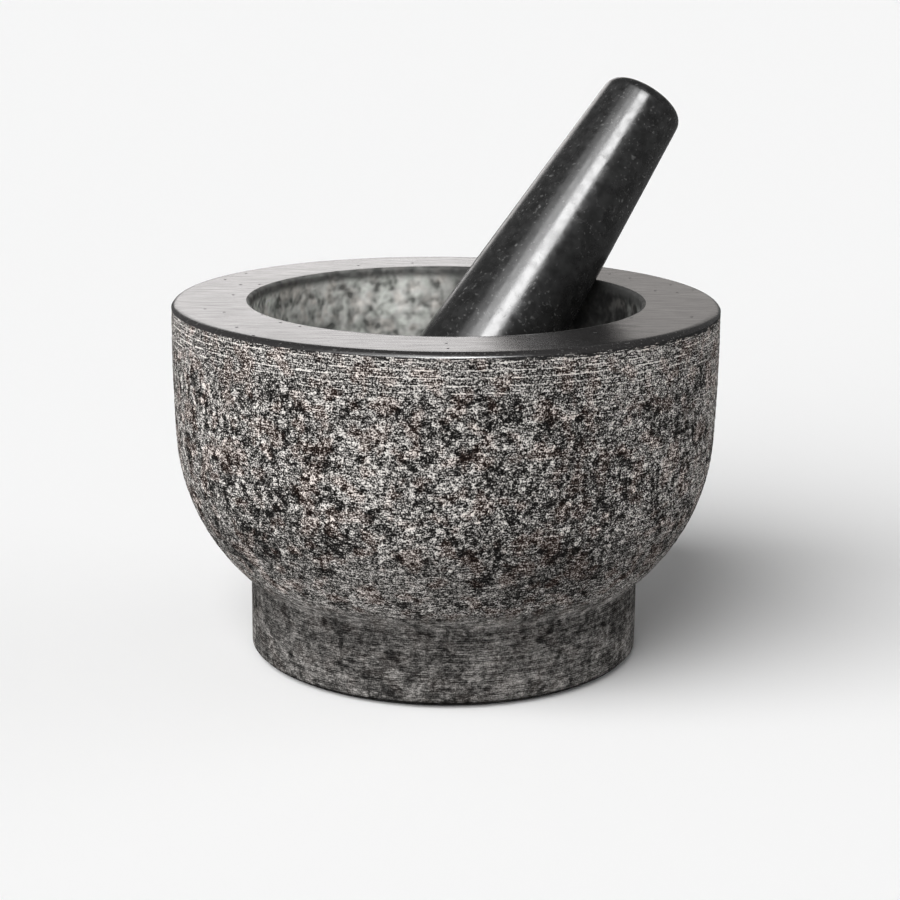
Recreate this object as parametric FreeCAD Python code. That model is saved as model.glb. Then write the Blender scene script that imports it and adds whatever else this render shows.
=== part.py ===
import FreeCAD, Part
import math
import os

# A granite mortar, the pestle that leans in its bowl, and the thin pad under its foot.
# Millimetres, +Z up. The origin is the centre of the pad's underside, and -Y is the front.
# Every piece is turned about one axis: its half outline is drawn in the XZ plane, with x as
# the radius, and revolved. The pestle is drawn upright, head down, and then leaned.

# Pad under the foot
pad_thickness = 1.0
pad_inset = 1.6               # from the edge of the foot's flat underside in to the pad

# Mortar, outside
rim_height = 92.5
foot_radius = 50.9
foot_chamfer = 0.8
widest_radius = 70.1
widest_height = 81.1
wall_curve_radius = 484.0     # the nearly straight upper wall
belly_curve_radius = 51.7     # the round belly, tangent to the upper wall
belly_start_angle = 2.76      # degrees round the wall's curve, down from its widest place
rim_rounding_radius = 2.25    # tangent to the flat top
rim_rounding_drop = 1.2       # from the flat top down to the upper wall

# Mortar, bowl
bowl_radius = 50.1
bowl_centre_height = 79.5     # the wall is upright above this height and a half ball below it
lip_rounding = 1.0

# Pestle
pestle_length = 135.4
pestle_end_radius = 11.33     # where the side would meet the flat end without its rounding
pestle_taper = 3.675          # degrees that the side spreads towards the head
end_rounding = 3.5
shoulder_rounding = 11.0
grinding_radius = 26.0        # the shallow dome that crushes, tangent to the shoulder

# Pestle at rest: head on the bowl's floor, shaft against the lip, with a small clearance
pestle_lean = 39.91           # degrees from upright
pestle_bearing = 36.01        # degrees from +X towards +Y
pestle_tip = FreeCAD.Vector(-16.04, -5.43, 36.22)

origin = FreeCAD.Vector(0, 0, 0)
up = FreeCAD.Vector(0, 0, 1)
front_to_back = FreeCAD.Vector(0, 1, 0)
full_turn = 360


def point(radius, height):
    return FreeCAD.Vector(radius, 0, height)


def on_circle(centre, radius, angle):
    """The point of a circle at an angle in degrees, counted upwards from level."""
    turn = math.radians(angle)
    return centre + point(radius * math.cos(turn), radius * math.sin(turn))


def circle_arc(centre, radius, start_angle, end_angle):
    start = on_circle(centre, radius, start_angle)
    middle = on_circle(centre, radius, (start_angle + end_angle) / 2)
    end = on_circle(centre, radius, end_angle)
    return Part.Arc(start, middle, end).toShape()


def line(start, end):
    return Part.LineSegment(start, end).toShape()


def turned(edges):
    """The solid of revolution of a closed half outline, its edges in order."""
    return Part.Face(Part.Wire(edges)).revolve(origin, up, full_turn)


def base_pad():
    radius = foot_radius - foot_chamfer - pad_inset
    return Part.makeCylinder(radius, pad_thickness)


def foot_outline(foot_top):
    """The underside, the chamfer and the upright side of the foot."""
    middle = point(0, pad_thickness)
    chamfer_inside = point(foot_radius - foot_chamfer, pad_thickness)
    chamfer_outside = point(foot_radius, pad_thickness + foot_chamfer)
    return [
        line(middle, chamfer_inside),
        line(chamfer_inside, chamfer_outside),
        line(chamfer_outside, foot_top),
    ]


def rim_and_bowl_outline(flat_outer_radius):
    """The flat top, the lip, the bowl's wall and floor, and the axis down to the underside."""
    flat_outside = point(flat_outer_radius, rim_height)
    lip_centre = point(bowl_radius + lip_rounding, rim_height - lip_rounding)
    bowl_centre = point(0, bowl_centre_height)
    lip_top = on_circle(lip_centre, lip_rounding, 90)
    lip_bottom = on_circle(lip_centre, lip_rounding, 180)
    bowl_top = on_circle(bowl_centre, bowl_radius, 0)
    bowl_floor = on_circle(bowl_centre, bowl_radius, -90)
    return [
        line(flat_outside, lip_top),
        circle_arc(lip_centre, lip_rounding, 90, 180),
        line(lip_bottom, bowl_top),
        circle_arc(bowl_centre, bowl_radius, 0, -90),
        line(bowl_floor, point(0, pad_thickness)),
    ]


def mortar():
    wall_centre = point(widest_radius - wall_curve_radius, widest_height)
    wall_top_height = rim_height - rim_rounding_drop
    wall_top_angle = math.degrees(math.asin((wall_top_height - widest_height) / wall_curve_radius))
    wall_top = on_circle(wall_centre, wall_curve_radius, wall_top_angle)

    belly_centre = on_circle(wall_centre, wall_curve_radius - belly_curve_radius, -belly_start_angle)
    belly_end_angle = math.degrees(math.acos((foot_radius - belly_centre.x) / belly_curve_radius))
    foot_top = on_circle(belly_centre, belly_curve_radius, -belly_end_angle)

    rounding_end_angle = math.degrees(math.asin(1 - rim_rounding_drop / rim_rounding_radius))
    rounding_width = rim_rounding_radius * math.cos(math.radians(rounding_end_angle))
    flat_outer_radius = wall_top.x - rounding_width
    rounding_centre = point(flat_outer_radius, rim_height - rim_rounding_radius)

    outside = [
        circle_arc(belly_centre, belly_curve_radius, -belly_end_angle, -belly_start_angle),
        circle_arc(wall_centre, wall_curve_radius, -belly_start_angle, wall_top_angle),
        circle_arc(rounding_centre, rim_rounding_radius, rounding_end_angle, 90),
    ]
    return turned(foot_outline(foot_top) + outside + rim_and_bowl_outline(flat_outer_radius))


def side_radius(height, depth):
    """Radius of the pestle's side at a height, taken a depth below its surface."""
    taper = math.radians(pestle_taper)
    spread = (pestle_length - height) * math.tan(taper)
    return pestle_end_radius + spread - depth / math.cos(taper)


def shoulder_centre():
    """Centre of the shoulder's arc, which touches both the side and the grinding dome."""
    slope = math.tan(math.radians(pestle_taper))
    base = side_radius(0, shoulder_rounding)
    gap = grinding_radius - shoulder_rounding
    half = (grinding_radius + base * slope) / (1 + slope ** 2)
    rest = (base ** 2 + grinding_radius ** 2 - gap ** 2) / (1 + slope ** 2)
    height = half - math.sqrt(half ** 2 - rest)
    return point(side_radius(height, shoulder_rounding), height)


def upright_pestle():
    """The pestle standing on its head, with the lowest point of the dome at the origin."""
    dome_centre = point(0, grinding_radius)
    shoulder = shoulder_centre()
    meeting = shoulder - dome_centre
    meeting_angle = math.degrees(math.atan2(meeting.z, meeting.x))

    end_height = pestle_length - end_rounding
    end_centre = point(side_radius(end_height, end_rounding), end_height)
    side_bottom = on_circle(shoulder, shoulder_rounding, pestle_taper)
    side_top = on_circle(end_centre, end_rounding, pestle_taper)
    end_inside = on_circle(end_centre, end_rounding, 90)
    end_middle = point(0, pestle_length)
    return turned([
        circle_arc(dome_centre, grinding_radius, -90, meeting_angle),
        circle_arc(shoulder, shoulder_rounding, meeting_angle, pestle_taper),
        line(side_bottom, side_top),
        circle_arc(end_centre, end_rounding, pestle_taper, 90),
        line(end_inside, end_middle),
        line(end_middle, origin),
    ])


def pestle():
    shape = upright_pestle()
    shape.rotate(origin, front_to_back, pestle_lean)
    shape.rotate(origin, up, pestle_bearing)
    shape.translate(pestle_tip)
    return shape


os.makedirs("parts", exist_ok=True)
for name, make in (("base_pad", base_pad), ("mortar", mortar), ("pestle", pestle)):
    piece = make()
    piece.exportStep(os.path.join("parts", name + ".step"))
    print(name, "valid" if piece.isValid() else "NOT VALID", round(piece.Volume), "cubic mm")
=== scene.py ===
import bpy
import math
import numpy as np
from mathutils import Euler, Matrix, Vector, noise


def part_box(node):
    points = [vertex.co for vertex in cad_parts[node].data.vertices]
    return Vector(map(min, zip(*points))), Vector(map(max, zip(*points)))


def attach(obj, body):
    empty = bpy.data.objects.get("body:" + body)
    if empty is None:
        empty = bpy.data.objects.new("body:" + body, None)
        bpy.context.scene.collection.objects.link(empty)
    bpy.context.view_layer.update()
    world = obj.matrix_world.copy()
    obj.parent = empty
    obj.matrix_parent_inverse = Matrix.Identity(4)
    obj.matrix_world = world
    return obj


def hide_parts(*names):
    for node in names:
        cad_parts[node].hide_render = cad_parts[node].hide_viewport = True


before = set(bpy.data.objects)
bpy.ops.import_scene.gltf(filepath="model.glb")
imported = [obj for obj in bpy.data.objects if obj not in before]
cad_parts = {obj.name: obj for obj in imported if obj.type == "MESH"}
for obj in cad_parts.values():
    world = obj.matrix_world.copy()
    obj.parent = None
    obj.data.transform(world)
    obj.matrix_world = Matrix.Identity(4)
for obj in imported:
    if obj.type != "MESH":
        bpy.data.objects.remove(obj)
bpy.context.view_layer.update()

# A granite mortar, its pestle and the pad under its foot. Each piece is turned about one axis, from
# the same outline as its CAD solid, with the stone's tool marks cut into the surface. The world is
# in metres. Outlines and materials are in millimetres, and this is one millimetre.
MM = 0.001

# The mortar's outline, as the CAD model draws it, in millimetres. The belly's curve starts this many
# degrees below the wall's widest place
FOOT_RADIUS = 50.9
FOOT_CHAMFER = 0.8
WIDEST_RADIUS = 70.1
WIDEST_HEIGHT = 81.1
WALL_CURVE = 484.0
BELLY_CURVE = 51.7
RIM_ROUNDING = 2.25
RIM_DROP = 1.2
BOWL_RADIUS = 50.1
BOWL_CENTRE = 79.5
LIP_ROUNDING = 1.0
BELLY_START = 2.76

# The pestle's outline, in millimetres, and how far its side leans out from its axis, in degrees
END_RADIUS = 11.33
END_ROUNDING = 3.5
SHOULDER_ROUNDING = 11.0
GRINDING_RADIUS = 26.0
PESTLE_TAPER = 3.675

# The stone's tool marks, in millimetres
GROOVE_PITCH = 1.76
GROOVE_DEPTH = 0.1
CHIP_DEPTH = 0.14
PECK_DEPTH = 0.35

# The middles of the painted shade low on the wall's front and the painted light above it, in millimetres
LOW_FRONT_SHADE_MIDDLE = (24.0, -60.0, 47.0)
HIGH_FRONT_LIGHT_MIDDLE = (-14.0, -68.0, 74.0)

# The pad's softened edge, in millimetres
PAD_ROUNDING = 0.3

# How finely the meshes are cut: points around, and millimetres between the rings of the bowl and the
# pestle's head, of their straight sides, of flat faces that nothing marks, and of edges
MORTAR_AROUND = 320
PESTLE_AROUND = 160
PAD_AROUND = 160
ROWS_PER_GROOVE = 4
BOWL_ROW = 1.4
HEAD_ROW = 0.8
SIDE_ROW = 1.2
RIM_ROW = 2.0
UNDERSIDE_ROW = 8.0
PESTLE_END_ROW = 1.5
PAD_ROW = 4.0
BROAD_EDGE_ROW = 0.4
ROUNDING_ROW = 0.3
LIP_ROW = 0.25
PAD_SIDE_ROW = 0.2
PAD_EDGE_ROW = 0.1

# The camera: lens and sensor in millimetres, angles in degrees, place in metres from the axis and rim
LENS = 79.54
SENSOR = 36
SHIFT = 0.00574
LOOK_DOWN = 14.45
ROLL = 0.473
CAMERA_FORWARD = 0.5042
CAMERA_ABOVE_RIM = 0.08965

# The studio, in metres, how bright the backdrop is, to match the floor, and the light from all round
FLOOR_REACH = 12.0
BACKDROP_RADIUS = 11.5
BACKDROP_HEIGHT = 9.0
BACKDROP_SIDES = 48
BACKDROP_GLOW = 0.945
WORLD_GLOW = 0.15

# How far up the pestle the softboxes for its shaft aim, as a share of its length
SHAFT_AIM = 0.66


# ---------------------------------------------------------------- outlines and turned meshes

def arc(centre, radius, start, end, spacing):
    """Points on a circle from start to end, in degrees counted upwards from level."""
    length = abs(math.radians(end - start)) * radius
    count = max(2, round(length / spacing) + 1)
    turn = np.radians(np.linspace(start, end, count))
    return np.column_stack((centre[0] + radius * np.cos(turn), centre[1] + radius * np.sin(turn)))


def straight(start, end, spacing):
    """Points on a line from start to end."""
    count = max(2, round(math.dist(start, end) / spacing) + 1)
    return np.linspace(start, end, count)


def joined(stretches):
    """One outline from several, without repeating the points where they meet."""
    kept = [stretches[0]]
    kept += [stretch[1:] for stretch in stretches[1:]]
    return np.vstack(kept)


def lengths_along(outline):
    """How far each point lies from the outline's start."""
    steps = np.hypot(*np.diff(outline, axis=0).T)
    return np.concatenate(([0.0], np.cumsum(steps)))


def outward_normals(outline):
    """Unit normals to the right of the outline's direction, in radius and height."""
    tangent = np.gradient(outline, axis=0)
    normal = np.column_stack((tangent[:, 1], -tangent[:, 0]))
    return normal / np.linalg.norm(normal, axis=1)[:, None]


def turned_mesh(name, outline, around, dent=None):
    """A closed mesh of revolution. The outline runs from pole to pole, in millimetres, and dent
    gives how deep the surface lies under it at each point, from its place and its ring."""
    rings = outline[1:-1]
    normals = outward_normals(outline)[1:-1]
    turn = np.linspace(0, 2 * math.pi, around, endpoint=False)
    cos, sin = np.cos(turn), np.sin(turn)
    place = np.stack((rings[:, :1] * cos, rings[:, :1] * sin, np.repeat(rings[:, 1:], around, 1)), 2)
    if dent is not None:
        depth = dent(place)
        push = np.stack((normals[:, :1] * cos, normals[:, :1] * sin,
                         np.repeat(normals[:, 1:], around, 1)), 2)
        place = place - push * depth[:, :, None]
    points = place.reshape(-1, 3)
    poles = np.array(((0, 0, outline[0, 1]), (0, 0, outline[-1, 1])))
    points = np.vstack((points, poles)) * MM

    count = len(rings)
    first, last = count * around, count * around + 1
    faces = []
    for j in range(around):
        k = (j + 1) % around
        faces.append((first, k, j))
        faces.append((last, (count - 1) * around + j, (count - 1) * around + k))
    for i in range(count - 1):
        for j in range(around):
            k = (j + 1) % around
            faces.append((i * around + j, i * around + k, (i + 1) * around + k, (i + 1) * around + j))
    mesh = bpy.data.meshes.new(name)
    mesh.from_pydata(points.tolist(), [], faces)
    mesh.shade_smooth()
    piece = bpy.data.objects.new(name, mesh)
    bpy.context.scene.collection.objects.link(piece)
    return piece


def add_attribute(piece, name, ring_values, around):
    """A number for each point of a turned mesh, the same all round each ring."""
    values = np.concatenate((np.repeat(ring_values[1:-1], around), ring_values[[0, -1]]))
    attribute = piece.data.attributes.new(name, "FLOAT", "POINT")
    attribute.data.foreach_set("value", values.astype(np.float32))


def mortar_outline():
    """The outline from the middle of the underside to the bowl's floor, and for each of its points
    how far it lies from the flat rim's outer edge along the surface, more than 0 on the outside.
    Then where the finish changes: at the end of the lip, the start of the wall, the foot's top and
    the foot's chamfer."""
    box_low, box_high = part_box("mortar")
    rim, underside = box_high.z / MM, box_low.z / MM
    wall_centre = (WIDEST_RADIUS - WALL_CURVE, WIDEST_HEIGHT)
    wall_top = math.degrees(math.asin((rim - RIM_DROP - WIDEST_HEIGHT) / WALL_CURVE))
    belly_turn = math.radians(BELLY_START)
    belly_centre = (wall_centre[0] + (WALL_CURVE - BELLY_CURVE) * math.cos(belly_turn),
                    wall_centre[1] - (WALL_CURVE - BELLY_CURVE) * math.sin(belly_turn))
    belly_end = math.degrees(math.acos((FOOT_RADIUS - belly_centre[0]) / BELLY_CURVE))
    rounding_end = math.degrees(math.asin(1 - RIM_DROP / RIM_ROUNDING))
    wall_top_radius = wall_centre[0] + WALL_CURVE * math.cos(math.radians(wall_top))
    flat_outside = wall_top_radius - RIM_ROUNDING * math.cos(math.radians(rounding_end))
    rounding_centre = (flat_outside, rim - RIM_ROUNDING)
    lip_centre = (BOWL_RADIUS + LIP_ROUNDING, rim - LIP_ROUNDING)
    row = GROOVE_PITCH / ROWS_PER_GROOVE

    inside = [
        arc((0, BOWL_CENTRE), BOWL_RADIUS, -90, 0, BOWL_ROW),
        straight((BOWL_RADIUS, BOWL_CENTRE), (BOWL_RADIUS, rim - LIP_ROUNDING), SIDE_ROW),
        arc(lip_centre, LIP_ROUNDING, 180, 90, LIP_ROW),
        straight((BOWL_RADIUS + LIP_ROUNDING, rim), (flat_outside, rim), RIM_ROW),
    ]
    outside = [
        arc(rounding_centre, RIM_ROUNDING, 90, rounding_end, ROUNDING_ROW),
        arc(wall_centre, WALL_CURVE, wall_top, -BELLY_START, row),
        arc(belly_centre, BELLY_CURVE, -BELLY_START, -belly_end, row),
    ]
    foot_top = tuple(outside[-1][-1])
    chamfer_top = (FOOT_RADIUS, underside + FOOT_CHAMFER)
    chamfer_end = (FOOT_RADIUS - FOOT_CHAMFER, underside)
    foot = [
        straight(foot_top, chamfer_top, row),
        straight(chamfer_top, chamfer_end, BROAD_EDGE_ROW),
        straight(chamfer_end, (0, underside), UNDERSIDE_ROW),
    ]
    outline = joined(inside + outside + foot)
    rim_start = lengths_along(joined(inside[:3]))[-1]
    rim_flat = lengths_along(joined(inside))[-1]
    wall_start = lengths_along(joined(inside + outside[:1]))[-1]
    foot_start = lengths_along(joined(inside + outside))[-1]
    along = lengths_along(outline) - rim_flat
    chamfer_start = lengths_along(joined(inside + outside + foot[:1]))[-1]
    changes = np.array((rim_start, wall_start, foot_start, chamfer_start)) - rim_flat
    return outline[::-1], along[::-1], changes.tolist()


def noise_at(place, size):
    """Smooth noise from -1 to 1 at each point, with lumps of about this size in millimetres."""
    points = (place.reshape(-1, 3) / size).tolist()
    return np.array([noise.noise(point) for point in points]).reshape(place.shape[:2])


def ease(value, start, end):
    """From 0 at start to 1 at end, smoothly."""
    share = np.clip((value - start) / (end - start), 0, 1)
    return share * share * (3 - 2 * share)


def stone_dents(along, changes):
    """A function that gives, for each point of the mortar, how deep its tool marks and chips lie under
    the CAD surface."""
    ring = along[1:-1, None]
    rim_start, wall_start, foot_start = changes[:3]

    # The wall's marks are weaker from the foot's top, and fade out about half way down the foot
    underside_middle = ring.max()
    fade = ease(ring, underside_middle - 56, underside_middle - 50)
    wall = ease(ring, wall_start, wall_start + 1.0) * (1 - fade)
    rough = wall * (1 - 0.75 * ease(ring, foot_start - 4.0, foot_start))
    bowl = 1 - ease(ring, rim_start - 5.0, rim_start - 2.5)

    def depth(place):
        patches = 0.5 + 0.5 * noise_at(place, 11.0)
        chips = np.clip(0.3 + noise_at(place, 1.9), 0, 1)
        groove = 0.5 - 0.5 * np.cos(2 * math.pi * ring / GROOVE_PITCH)
        turned = rough * (GROOVE_DEPTH * groove * (0.35 + 0.65 * patches) + CHIP_DEPTH * chips)
        pecks = np.clip(0.45 + noise_at(place, 3.2) + 0.4 * noise_at(place, 1.5), 0, 1)
        return turned + bowl * PECK_DEPTH * pecks

    return depth


def make_mortar():
    """One stone with three finishes: pecked in the bowl, polished on the rim and turned outside."""
    outline, along, changes = mortar_outline()
    piece = turned_mesh("mortar_stone", outline, MORTAR_AROUND, stone_dents(along, changes))
    add_attribute(piece, "along", along, MORTAR_AROUND)
    lean = turning_axis("pestle")[1]
    piece.data.materials.append(pecked_granite(changes[0], lean))
    piece.data.materials.append(polished_granite())
    piece.data.materials.append(turned_granite(*changes[1:]))

    # The faces at the two poles come first, in pairs: underside, then bowl
    bowl_finish, turned_finish = 0, 2
    ring_middle = (along[1:-2] + along[2:-1]) / 2
    zone = np.digitize(ring_middle, changes[:2])
    poles = np.tile((turned_finish, bowl_finish), MORTAR_AROUND)
    finish = np.concatenate((poles, np.repeat(zone, MORTAR_AROUND)))
    piece.data.polygons.foreach_set("material_index", finish)
    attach(piece, "mortar")
    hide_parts("mortar")


def turning_axis(node):
    """The axis of a turned CAD node, from its surface: its lower end, its direction upwards, and its
    length in millimetres."""
    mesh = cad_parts[node].data
    mesh.calc_loop_triangles()
    points = np.array([v.co for v in mesh.vertices])
    corners = points[np.array([t.vertices for t in mesh.loop_triangles])]
    area = np.linalg.norm(np.cross(corners[:, 1] - corners[:, 0], corners[:, 2] - corners[:, 0]), axis=1)
    middle = (corners.mean(axis=1) * area[:, None]).sum(axis=0) / area.sum()
    edges = (corners + np.roll(corners, 1, axis=1)) / 2 - middle
    spread = np.einsum("tij,tik,t->jk", edges, edges, area)
    direction = np.linalg.eigh(spread)[1][:, -1]
    direction *= np.sign(direction[2])
    heights = (points - middle) @ direction
    tip = middle + heights.min() * direction
    return Vector(tip), Vector(direction), (heights.max() - heights.min()) / MM


def pestle_outline(length):
    """From the tip of the grinding head up the side to the middle of the flat end."""
    taper = math.radians(PESTLE_TAPER)

    def side(height, depth):
        """How far from the axis a point lies that is this deep under the tapered side."""
        return END_RADIUS + (length - height) * math.tan(taper) - depth / math.cos(taper)

    # The shoulder's centre lies as deep under the side as under the dome
    heights = np.linspace(0, GRINDING_RADIUS, 2000)
    miss = np.hypot(side(heights, SHOULDER_ROUNDING), heights - GRINDING_RADIUS)
    height = heights[np.argmin(abs(miss - (GRINDING_RADIUS - SHOULDER_ROUNDING)))]
    shoulder = (side(height, SHOULDER_ROUNDING), height)
    meeting = math.degrees(math.atan2(height - GRINDING_RADIUS, shoulder[0]))
    end_centre = (side(length - END_ROUNDING, END_ROUNDING), length - END_ROUNDING)
    dome = arc((0, GRINDING_RADIUS), GRINDING_RADIUS, -90, meeting, HEAD_ROW)
    round_shoulder = arc(shoulder, SHOULDER_ROUNDING, meeting, PESTLE_TAPER, HEAD_ROW)
    round_end = arc(end_centre, END_ROUNDING, PESTLE_TAPER, 90, BROAD_EDGE_ROW)
    return joined([
        dome,
        round_shoulder,
        straight(round_shoulder[-1], round_end[0], SIDE_ROW),
        round_end,
        straight(round_end[-1], (0, length), PESTLE_END_ROW),
    ])


def make_pestle():
    """The pestle, turned upright and then leaned as its CAD solid leans."""
    tip, direction, length = turning_axis("pestle")
    piece = turned_mesh("pestle_stone", pestle_outline(length), PESTLE_AROUND)
    piece.data.materials.append(pestle_granite())
    lean = Vector((0, 0, 1)).rotation_difference(direction).to_matrix().to_4x4()
    piece.data.transform(Matrix.Translation(tip) @ lean)
    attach(piece, "pestle")
    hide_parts("pestle")


def make_pad():
    """The non-slip pad under the foot, a disc with softened edges."""
    box_low, box_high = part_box("base_pad")
    radius, bottom, top = box_high.x / MM, box_low.z / MM, box_high.z / MM
    inner = radius - PAD_ROUNDING
    outline = joined([
        straight((0, bottom), (inner, bottom), PAD_ROW),
        arc((inner, bottom + PAD_ROUNDING), PAD_ROUNDING, -90, 0, PAD_EDGE_ROW),
        straight((radius, bottom + PAD_ROUNDING), (radius, top - PAD_ROUNDING), PAD_SIDE_ROW),
        arc((inner, top - PAD_ROUNDING), PAD_ROUNDING, 0, 90, PAD_EDGE_ROW),
        straight((inner, top), (0, top), PAD_ROW),
    ])
    piece = turned_mesh("foot_pad", outline, PAD_AROUND)
    piece.data.materials.append(pad_rubber())
    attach(piece, "mortar")
    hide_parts("base_pad")


# ---------------------------------------------------------------- materials

class Shader:
    """A material whose nodes are made by short calls. place is each point's place in millimetres."""

    def __init__(self, name):
        self.material = bpy.data.materials.new(name)
        self.material.use_nodes = True
        self.nodes = self.material.node_tree.nodes
        self.links = self.material.node_tree.links
        self.surface = self.nodes["Principled BSDF"]
        coordinates = self.nodes.new("ShaderNodeTexCoord")
        self.place = self.vector("MULTIPLY", coordinates.outputs["Object"], (1 / MM, 1 / MM, 1 / MM))

    def put(self, socket, value):
        """Link a value that another node gives, or set a plain one."""
        if isinstance(value, bpy.types.NodeSocket):
            self.links.new(value, socket)
        elif value is not None:
            socket.default_value = value

    def attribute(self, name):
        """A number that the mesh keeps for each of its points."""
        node = self.nodes.new("ShaderNodeAttribute")
        node.attribute_name = name
        return node.outputs["Fac"]

    def math(self, operation, a, b=None, c=None):
        """One calculation with up to three numbers."""
        node = self.nodes.new("ShaderNodeMath")
        node.operation = operation
        self.put(node.inputs[0], a)
        self.put(node.inputs[1], b)
        self.put(node.inputs[2], c)
        return node.outputs[0]

    def product(self, a, b):
        return self.math("MULTIPLY", a, b)

    def vector(self, operation, a, b):
        """One calculation with two places or directions."""
        node = self.nodes.new("ShaderNodeVectorMath")
        node.operation = operation
        self.put(node.inputs[0], a)
        self.put(node.inputs[1], b)
        return node.outputs[0]

    def centred(self, value):
        """Noise from 0 to 1, moved to lie around 0."""
        return self.math("SUBTRACT", value, 0.5)

    def add(self, value, more, weight):
        """The value with more added to it, times the weight."""
        return self.math("MULTIPLY_ADD", more, weight, value)

    def add_all(self, value, layers):
        """The value with each layer added to it, times the layer's own weight."""
        for layer, weight in layers:
            value = self.add(value, layer, weight)
        return value

    def joined_place(self, place, along):
        """Across the floor plan as it is, and along the surface for the height."""
        split = self.nodes.new("ShaderNodeSeparateXYZ")
        self.put(split.inputs[0], place)
        join = self.nodes.new("ShaderNodeCombineXYZ")
        self.put(join.inputs[0], split.outputs[0])
        self.put(join.inputs[1], split.outputs[1])
        self.put(join.inputs[2], along)
        return join.outputs[0]

    def warped(self, size, strength):
        """The place, pushed about by up to this many millimetres by lumps of this size."""
        push = self.noise(self.place, 1 / size, 1.0, output="Color")
        push = self.vector("SUBTRACT", push, (0.5, 0.5, 0.5))
        push = self.vector("MULTIPLY", push, (2 * strength, 2 * strength, 2 * strength))
        return self.vector("ADD", self.place, push)

    def noise(self, place, scale, detail=2.0, roughness=0.5, output="Fac"):
        """Noise from 0 to 1, or three of them as a colour, with about scale lumps to a millimetre."""
        node = self.nodes.new("ShaderNodeTexNoise")
        self.put(node.inputs["Vector"], place)
        self.put(node.inputs["Scale"], scale)
        self.put(node.inputs["Detail"], detail)
        self.put(node.inputs["Roughness"], roughness)
        return node.outputs[output]

    def lumps(self, size, detail=2.0, roughness=0.5):
        """Noise from 0 to 1, with lumps of about this size in millimetres."""
        return self.noise(self.place, 1 / size, detail, roughness)

    def streaks(self, place, stretch, detail=1.0, roughness=0.5):
        """Noise from 0 to 1, drawn out along the axes where stretch is small."""
        return self.noise(self.vector("MULTIPLY", place, stretch), 1.0, detail, roughness)

    def cells(self, place, size, output="Color", dimensions="3D"):
        """For each point, its distance from the middle of its cell or its cell's own colour."""
        node = self.nodes.new("ShaderNodeTexVoronoi")
        node.voronoi_dimensions = dimensions
        self.put(node.inputs["Vector"], place)
        self.put(node.inputs["Scale"], 1 / size)
        return node.outputs[output]

    def granules(self, place, size, share):
        """Rounded grains of about this size, in this share of the places where one could be."""
        near = self.smooth_step(self.cells(place, size, "Distance"), 0.36, 0.52, 1, 0)
        chosen = self.smooth_step(self.part(self.cells(place, size), 0), 1 - share, 1.05 - share)
        return self.product(near, chosen)

    def part_of(self, place, direction):
        """How far each point lies along a direction."""
        node = self.vector("DOT_PRODUCT", place, direction).node
        return node.outputs["Value"]

    def length_between(self, place, point):
        """How far each point lies from one point."""
        node = self.vector("DISTANCE", place, point).node
        return node.outputs["Value"]

    def part(self, colour, index):
        """The red, green or blue part of a colour."""
        node = self.nodes.new("ShaderNodeSeparateColor")
        self.put(node.inputs[0], colour)
        return node.outputs[index]

    def grey_of(self, level):
        """The colour whose three parts are all this level."""
        node = self.nodes.new("ShaderNodeCombineColor")
        for index in range(3):
            self.put(node.inputs[index], level)
        return node.outputs[0]

    def smooth_step(self, value, low, high, to_low=0.0, to_high=1.0):
        """From to_low where the value is low to to_high where it is high, smoothly."""
        node = self.nodes.new("ShaderNodeMapRange")
        node.interpolation_type = "SMOOTHSTEP"
        self.put(node.inputs["Value"], value)
        self.put(node.inputs["From Min"], low)
        self.put(node.inputs["From Max"], high)
        self.put(node.inputs["To Min"], to_low)
        self.put(node.inputs["To Max"], to_high)
        return node.outputs["Result"]

    def ramp(self, value, stops):
        """A colour for each value, between the stops' positions and colours."""
        node = self.nodes.new("ShaderNodeValToRGB")
        self.put(node.inputs[0], value)
        elements = node.color_ramp.elements
        while len(elements) < len(stops):
            elements.new(0.5)
        for element, (position, colour) in zip(elements, stops):
            element.position = position
            element.color = (*colour, 1)
        return node.outputs["Color"]

    def shaded(self, colour, level):
        """The colour, darker where the level is under 1 and paler where it is over 1."""
        return self.mix(1.0, colour, self.grey_of(level), "MULTIPLY")

    def mix(self, share, a, b, blend="MIX"):
        """Colour a where the share is 0, and b, or a times b, where it is 1."""
        node = self.nodes.new("ShaderNodeMix")
        node.data_type = "RGBA"
        node.blend_type = blend
        self.put(node.inputs[0], share)
        self.put(node.inputs[6], a)
        self.put(node.inputs[7], b)
        return node.outputs[2]

    def stone_colour(self, value):
        """From black mica through grey to pale crystals."""
        return self.ramp(value, [
            (0.00, grey(0.004)), (0.22, grey(0.011)), (0.37, grey(0.037)), (0.50, grey(0.110)),
            (0.63, grey(0.240)), (0.78, grey(0.400)), (1.00, grey(0.660)),
        ])

    def bump(self, height, distance):
        """Relief in the shading. A height of 1 stands this far out, in metres."""
        node = self.nodes.new("ShaderNodeBump")
        self.put(node.inputs["Height"], height)
        self.put(node.inputs["Distance"], distance)
        self.put(node.inputs["Strength"], 1.0)
        self.links.new(node.outputs["Normal"], self.surface.inputs["Normal"])

    def colour(self, value):
        self.put(self.surface.inputs["Base Color"], value)

    def roughness(self, value):
        self.put(self.surface.inputs["Roughness"], value)

    def specular(self, level):
        self.surface.inputs["Specular IOR Level"].default_value = level


def grey(level):
    """A grey that is a little warm."""
    warmth = 0.046
    return (level * (1 + warmth), level, level * (1 - warmth))


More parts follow.
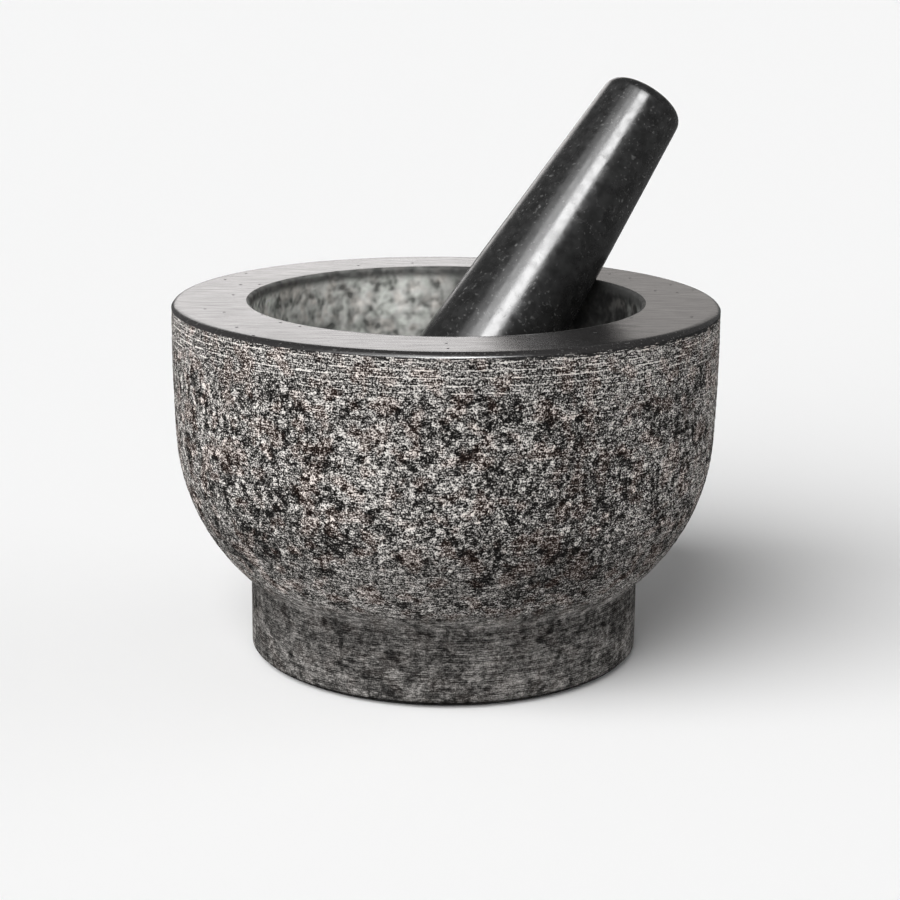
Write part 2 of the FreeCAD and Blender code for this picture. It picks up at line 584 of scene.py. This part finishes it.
def turned_granite(edge, foot, chamfer):
    """The outside: broken pale crystals and dark pits, with fine lines where the tool ran smooth,
    and all smooth towards the foot. The finish starts at edge, and these are lengths along the
    surface."""
    s = Shader("turned_granite")
    along = s.attribute("along")
    rings = s.joined_place(s.place, along)
    right_and_back = (1, 0.3, 0)
    rightward = s.part_of(s.place, right_and_back)
    smoothed = s.smooth_step(along, foot - 13, foot - 1)
    low_belly = foot - 38

    # Where the tool left lines: below the rim, low down, and in patches, most of them on the right
    top_zone = s.smooth_step(along, 7, 15, 1.0, 0.25)
    low_zone = s.smooth_step(along, low_belly, foot - 20, 0, 0.45)
    patchy = s.add_all(s.lumps(10), ((rightward, 0.0012), (smoothed, 0.3)))
    patches = s.smooth_step(patchy, 0.50, 0.66, 0, 0.65)
    lined = s.math("MAXIMUM", s.math("MAXIMUM", top_zone, low_zone), patches)
    broken = s.math("SUBTRACT", 1.15, lined)
    scratches = s.centred(s.streaks(rings, (0.3, 0.3, 3.3), 1.0, 0.6))

    value = s.math("MULTIPLY_ADD", broken, -0.12, 0.507)
    value = s.add_all(value, stone_layers(s, rings, broken, smoothed))
    value = s.add(value, s.product(scratches, lined), 0.80)
    value = s.add_all(value, groove_layers(s, along, rings, lined, smoothed))

    # Less contrast low on the belly, and least on the foot
    foot_calm = s.smooth_step(smoothed, 0, 1, 1.0, 0.5)
    belly_calm = s.smooth_step(along, low_belly, foot - 22, 1.0, 0.82)
    calm = s.product(foot_calm, belly_calm)
    value = s.math("MULTIPLY_ADD", s.centred(value), calm, 0.5)
    value = s.add_all(value, broad_layers(s, smoothed))
    value = s.add(value, top_zone, 0.02)
    # Painted shade low on the front and on the sides, and painted light high on the front
    value = s.add_all(value, painted_front_and_side_layers(s, rightward))

    colour = rusted(s, s.stone_colour(value), value, smoothed)
    # Painted shade under the belly, at the foot's top and on its chamfer
    colour = painted_shade_below(s, colour, along, foot, chamfer)

    # The polish runs over the rim's edge and ends unevenly
    worn = s.add(s.add(along, scratches, 5.0), rightward, -0.012)
    worn = s.smooth_step(worn, edge + 0.1, edge + 0.8, 1, 0)
    s.colour(s.mix(worn, colour, (0.02, 0.02, 0.02, 1)))
    s.roughness(s.smooth_step(value, 0, 1, 0.8, 0.6))
    s.specular(0.015)
    s.bump(value, 0.22 * MM)
    return s.material


def stone_layers(s, rings, broken, smoothed):
    """The stone itself: grit, pale crystals of two sizes with darker gaps, and dark pits."""
    fine = s.centred(s.lumps(0.36, 1.0))
    weave = s.centred(s.streaks(rings, (0.9, 0.9, 3.6)))
    grit = s.centred(s.lumps(1.0, 1.0))
    large = s.granules(s.warped(1.2, 0.5), 2.3, 0.52)
    small = s.granules(s.warped(0.7, 0.25), 1.4, 0.55)
    pits = s.add(s.lumps(2.3, 1.5), s.lumps(6, 1.0), 0.65)
    pits = s.smooth_step(pits, 0.68, 0.79, 1, 0)
    return (
        (s.product(fine, s.smooth_step(smoothed, 0, 1, 2.2, 1.1)), 1.0),
        (weave, 1.15),
        (grit, 0.4),
        (s.product(large, broken), 0.25),
        (s.product(small, broken), 0.25),
        (s.product(pits, broken), -0.33),
    )


def groove_layers(s, along, rings, lined, smoothed):
    """The tool's lines: even grooves, each with a finer one between, whole in some places."""
    groove = s.math("COSINE", s.product(along, 2 * math.pi / GROOVE_PITCH))
    fine_groove = s.math("COSINE", s.product(along, 4 * math.pi / GROOVE_PITCH))
    crests = s.add(s.smooth_step(groove, 0.8, 1.0), s.smooth_step(fine_groove, 0.6, 1.0), 0.6)
    crests = s.product(crests, s.smooth_step(smoothed, 0, 1, 1.0, 0.3))
    troughs = s.smooth_step(groove, -1.0, -0.8, 1, 0)
    troughs = s.add(troughs, s.smooth_step(fine_groove, -1.0, -0.6, 1, 0), 0.6)
    troughs = s.product(troughs, s.smooth_step(smoothed, 0, 1, 1.0, 2.6))
    whole = s.smooth_step(s.streaks(rings, (0.25, 0.25, 0.9)), 0.40, 0.60)
    whole = s.product(whole, lined)
    return (s.product(crests, whole), 0.36), (s.product(troughs, whole), -0.32)


def broad_layers(s, smoothed):
    """The stone's tone from place to place, and clumps and dark spots in the foot's smoother stone."""
    tone = s.centred(s.lumps(20, 1.0))
    clumps = s.centred(s.lumps(4.0, 1.0))
    spots = s.smooth_step(s.lumps(3.4, 1.5), 0.56, 0.70)
    return (tone, 0.24), (s.product(clumps, smoothed), 0.32), (s.product(spots, smoothed), -0.13)


def painted_front_and_side_layers(s, rightward):
    """Painted shade low on the wall's front, painted light above it, and painted shade on the sides."""
    low_front_shade = s.smooth_step(s.length_between(s.place, LOW_FRONT_SHADE_MIDDLE), 12, 34, 1, 0)
    high_front_light = s.smooth_step(s.length_between(s.place, HIGH_FRONT_LIGHT_MIDDLE), 14, 36, 1, 0)
    sides = s.smooth_step(s.math("ABSOLUTE", rightward), 20, 55)
    return (low_front_shade, -0.075), (high_front_light, 0.05), (sides, -0.02)


def rusted(s, colour, value, smoothed):
    """The colour with rust in patches, strongest in the dark stone and faint on the foot."""
    rust = s.smooth_step(s.lumps(5), 0.47, 0.64)
    rust = s.product(rust, s.smooth_step(value, 0.25, 0.6, 1.0, 0.15))
    rust = s.product(rust, s.smooth_step(smoothed, 0, 1, 1.0, 0.15))
    return s.mix(rust, colour, (1.35, 0.93, 0.80, 1), "MULTIPLY")


def painted_shade_below(s, colour, along, foot, chamfer):
    """The colour with painted shade: darker on the belly's underside, at the foot's top and on its
    chamfer.
    """
    belly = s.product(s.smooth_step(along, 40, 58), s.smooth_step(along, foot - 20, foot, 1, 0))
    colour = s.mix(belly, colour, (0.70, 0.70, 0.70, 1), "MULTIPLY")
    standing = s.smooth_step(along, foot - 0.5, foot + 0.5)
    shade = s.smooth_step(along, foot + 1, foot + 16, 0.53, 0.86)
    shade = s.product(shade, s.smooth_step(along, chamfer - 0.3, chamfer + 0.2, 1, 0.15))
    return s.mix(standing, colour, s.grey_of(shade), "MULTIPLY")


def pecked_granite(edge, lean):
    """The bowl: pale and mottled, pecked rough up to the lip's edge, with painted shade deeper down, on
    the right and on the side that the pestle leans to, and painted light on the left."""
    s = Shader("pecked_granite")
    along = s.attribute("along")
    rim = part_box("mortar")[1].z / MM
    mottle = s.math("MULTIPLY_ADD", s.centred(s.lumps(2.9, 1.0)), 1.35, 0.46)
    mottle = s.add(mottle, s.centred(s.lumps(1.6, 0.5)), 0.4)
    mottle = s.add(mottle, s.centred(s.lumps(8, 1.0)), 0.5)
    pale = s.ramp(mottle, [
        (0.15, (0.13, 0.132, 0.125)), (0.5, (0.51, 0.51, 0.49)), (0.85, (0.78, 0.78, 0.755)),
    ])
    tint = s.ramp(s.lumps(4.5, 1.0), [
        (0.35, (0.97, 1.00, 0.97)), (0.50, (1.0, 1.0, 0.99)), (0.65, (1.04, 1.0, 0.97)),
    ])
    pale = s.mix(1.0, pale, tint, "MULTIPLY")

    # Painted shade deeper in the bowl, painted light on the left and painted shade on the right
    pale = s.shaded(pale, s.smooth_step(along, edge - 30, edge - 5, 0.78, 1.0))
    pale = s.shaded(pale, s.smooth_step(s.part_of(s.place, (1, 0, 0)), -48, 36, 1.45, 0.65))

    # Painted shade on the side that the pestle leans to, darkest near where it rests on the lip
    rest_side = Vector((lean.x, lean.y, 0)).normalized()
    lip_rest = rest_side * BOWL_RADIUS + Vector((0, 0, rim))
    painted_shade_share = s.smooth_step(s.add(s.part_of(s.place, rest_side), mottle, 4.0), 24, 38)
    painted_shade_depth = s.smooth_step(s.length_between(s.place, lip_rest), 12, 34, 0.07, 0.22)
    painted_shade_depth = s.product(painted_shade_depth, s.smooth_step(mottle, 0.3, 0.7, 0.5, 1.5))
    pale = s.mix(painted_shade_share, pale, s.grey_of(painted_shade_depth), "MULTIPLY")

    # The lip is ground smooth and dark
    ground = s.smooth_step(s.add(along, mottle, 1.5), edge - 3.4, edge - 1.4, 0, 0.85)
    s.colour(s.mix(ground, pale, (0.035, 0.035, 0.034, 1)))
    s.roughness(s.smooth_step(mottle, 0, 1, 0.85, 0.7))
    s.specular(0.2)
    s.bump(mottle, 0.3 * MM)
    return s.material


def polished_granite():
    """The rim: dark, honed, with fine scratches and a few pits."""
    s = Shader("polished_granite")
    fleck = s.smooth_step(s.lumps(0.7, 1.0), 0.6, 0.74)
    loose = s.warped(0.8, 0.3)
    pit_spacing = 5.0
    near = s.smooth_step(s.cells(loose, pit_spacing, "Distance", "2D"), 0.05, 0.10, 1, 0)
    chosen = s.smooth_step(s.part(s.cells(loose, pit_spacing, "Color", "2D"), 0), 0.11, 0.12, 1, 0)
    pits = s.product(near, chosen)
    brushed = s.streaks(s.place, (0.14, 2.4, 1.0), 3.0)
    colour = s.mix(fleck, (0.020, 0.019, 0.019, 1), (0.07, 0.069, 0.067, 1))
    s.colour(s.mix(pits, colour, (0.004, 0.004, 0.004, 1)))
    gloss = s.smooth_step(brushed, 0.3, 0.7, 0.15, 0.27)
    s.roughness(s.math("MAXIMUM", gloss, pits))
    s.bump(s.math("MULTIPLY_ADD", pits, -4.0, brushed), 0.012 * MM)
    return s.material


def pestle_granite():
    """The pestle: nearly black and polished, with small pale flecks in some places."""
    s = Shader("pestle_granite")
    near = s.smooth_step(s.lumps(8, 1.0), 0.38, 0.60)
    fleck = s.product(s.smooth_step(s.lumps(0.8, 0.5), 0.60, 0.82), near)
    cloudy = s.smooth_step(s.lumps(3.0, 2.0, 0.6), 0.35, 0.70, 0.8, 1.6)
    colour = s.mix(fleck, (0.014, 0.014, 0.014, 1), (0.066, 0.066, 0.065, 1))
    s.colour(s.shaded(colour, cloudy))
    gloss = s.smooth_step(s.lumps(2.5), 0.3, 0.7, 0.17, 0.28)
    s.roughness(s.add(gloss, fleck, 0.12))
    s.specular(0.38)
    s.bump(fleck, 0.003 * MM)
    return s.material


def pad_rubber():
    """The pad: black, matte and finely pored."""
    s = Shader("pad_rubber")
    pores = s.lumps(0.4)
    s.colour(s.mix(pores, (0.008, 0.008, 0.008, 1), (0.018, 0.018, 0.018, 1)))
    s.roughness(s.smooth_step(pores, 0.3, 0.7, 0.6, 0.8))
    s.bump(pores, 0.05 * MM)
    return s.material


# ---------------------------------------------------------------- camera, floor and lights

def make_camera():
    """In front and a little above, on a long lens."""
    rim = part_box("mortar")[1].z
    data = bpy.data.cameras.new("camera")
    data.lens = LENS
    data.sensor_width = SENSOR
    data.shift_x = SHIFT
    camera = bpy.data.objects.new("camera", data)
    bpy.context.scene.collection.objects.link(camera)
    place = Matrix.Translation((0, -CAMERA_FORWARD, rim + CAMERA_ABOVE_RIM))
    look_down = Euler((math.radians(90 - LOOK_DOWN), 0, 0)).to_matrix().to_4x4()
    roll = Matrix.Rotation(math.radians(ROLL), 4, "Z")
    camera.matrix_world = place @ look_down @ roll
    bpy.context.scene.camera = camera


def studio_piece(name, corners, faces, paint):
    """A mesh that isn't part of the object. It casts no shadow and isn't reflected."""
    mesh = bpy.data.meshes.new(name)
    mesh.from_pydata(corners, [], faces)
    mesh.materials.append(paint.material)
    piece = bpy.data.objects.new(name, mesh)
    bpy.context.scene.collection.objects.link(piece)
    piece.visible_glossy = False
    piece.visible_shadow = False
    return piece


def make_floor():
    """A pale matte floor, level with the pad's underside."""
    reach = FLOOR_REACH
    corners = [(-reach, -reach, 0), (reach, -reach, 0), (reach, reach, 0), (-reach, reach, 0)]
    paint = Shader("floor_paint")
    paint.colour((0.9, 0.9, 0.9, 1))
    paint.roughness(0.9)
    paint.specular(0.0)
    floor = studio_piece("floor", corners, [(0, 1, 2, 3)], paint)


def make_backdrop():
    """A pale round wall behind the floor, for the low views. It lights nothing."""
    sides = BACKDROP_SIDES
    turn = [2 * math.pi * side / sides for side in range(sides)]
    ring = [(BACKDROP_RADIUS * math.cos(a), BACKDROP_RADIUS * math.sin(a)) for a in turn]
    corners = [(x, y, 0) for x, y in ring] + [(x, y, BACKDROP_HEIGHT) for x, y in ring]
    faces = [(i, (i + 1) % sides, sides + (i + 1) % sides, sides + i) for i in range(sides)]
    paint = Shader("backdrop_paper")
    paint.colour((0, 0, 0, 1))
    paint.specular(0.0)
    paint.surface.inputs["Emission Color"].default_value = (1, 1, 1, 1)
    paint.surface.inputs["Emission Strength"].default_value = BACKDROP_GLOW
    backdrop = studio_piece("backdrop", corners, faces, paint)
    backdrop.visible_diffuse = False


def soft_light(name, target, bearing, height_angle, distance, size, power, upright=(0, 0, 1),
               tint=(1, 1, 1)):
    """A softbox of this width and length that faces the target and only shows as a reflection.
    Its bearing is in degrees from the front towards the right."""
    data = bpy.data.lights.new(name, "AREA")
    data.shape = "RECTANGLE"
    data.size, data.size_y = size
    data.energy = power
    data.color = tint
    light = bpy.data.objects.new(name, data)
    way = direction_to(bearing, height_angle)
    across = Vector(upright).cross(way).normalized()
    turn = Matrix((across, way.cross(across), way)).transposed()
    light.matrix_world = Matrix.Translation(Vector(target) + way * distance) @ turn.to_4x4()
    light.visible_camera = False
    light.visible_diffuse = False
    bpy.context.scene.collection.objects.link(light)


def direction_to(bearing, height_angle):
    """The way to a light, from its bearing and how many degrees above level it stands."""
    a, e = math.radians(bearing), math.radians(height_angle)
    return Vector((math.sin(a) * math.cos(e), -math.cos(a) * math.cos(e), math.sin(e)))


def wide_light(name, bearing, height_angle, strength, spread):
    """Soft light from one side, over this many degrees, that doesn't show as a reflection."""
    data = bpy.data.lights.new(name, "SUN")
    data.energy = strength
    data.angle = math.radians(spread)
    light = bpy.data.objects.new(name, data)
    light.rotation_euler = direction_to(bearing, height_angle).to_track_quat("Z", "Y").to_euler()
    light.visible_glossy = False
    bpy.context.scene.collection.objects.link(light)


def make_lights():
    """Soft light from all round and from the sides, and softboxes for the reflections."""
    world = bpy.data.worlds.new("studio")
    world.use_nodes = True
    background = world.node_tree.nodes["Background"]
    background.inputs["Color"].default_value = (1, 1, 1, 1)
    background.inputs["Strength"].default_value = WORLD_GLOW
    bpy.context.scene.world = world

    # Each has a bearing, degrees above level, a strength and a spread. Those from below stand in for
    # the light that a pale floor throws up
    wide_light("key", -42, 36, 4.2, 65)
    wide_light("low_left", -82, 8, 0.5, 60)
    wide_light("low_right", 98, 8, 1.0, 60)
    wide_light("floor_left", -75, -28, 2.1, 60)
    wide_light("floor_right", 85, -28, 0.9, 60)

    # Each softbox has a bearing, degrees above level, a distance, a size and a power. The first three
    # stand along the pestle's shaft and make its long highlights
    tip, direction, length = turning_axis("pestle")
    shaft = tip + direction * length * SHAFT_AIM * MM
    soft_light("strip", shaft, 3, 40, 1.2, (0.46, 0.9), 40, direction)
    soft_light("band", shaft, -24, 48, 1.2, (0.30, 0.9), 8, direction)
    soft_light("band_outer", shaft, -45, 56, 1.2, (0.45, 0.9), 3.4, direction)

    # Two softboxes behind the rim make the sheen on its polish
    rim = (0, 0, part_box("mortar")[1].z)
    soft_light("back", rim, 191, 15, 1.1, (0.5, 0.4), 1.15, tint=(1, 0.97, 0.96))
    soft_light("back_right", rim, 164.7, 15, 1.1, (0.5, 0.4), 0.37, tint=(1, 0.94, 0.90))


make_camera()
make_mortar()
make_pestle()
make_pad()
make_floor()
make_backdrop()
make_lights()
bpy.context.scene.view_settings.view_transform = "Standard"
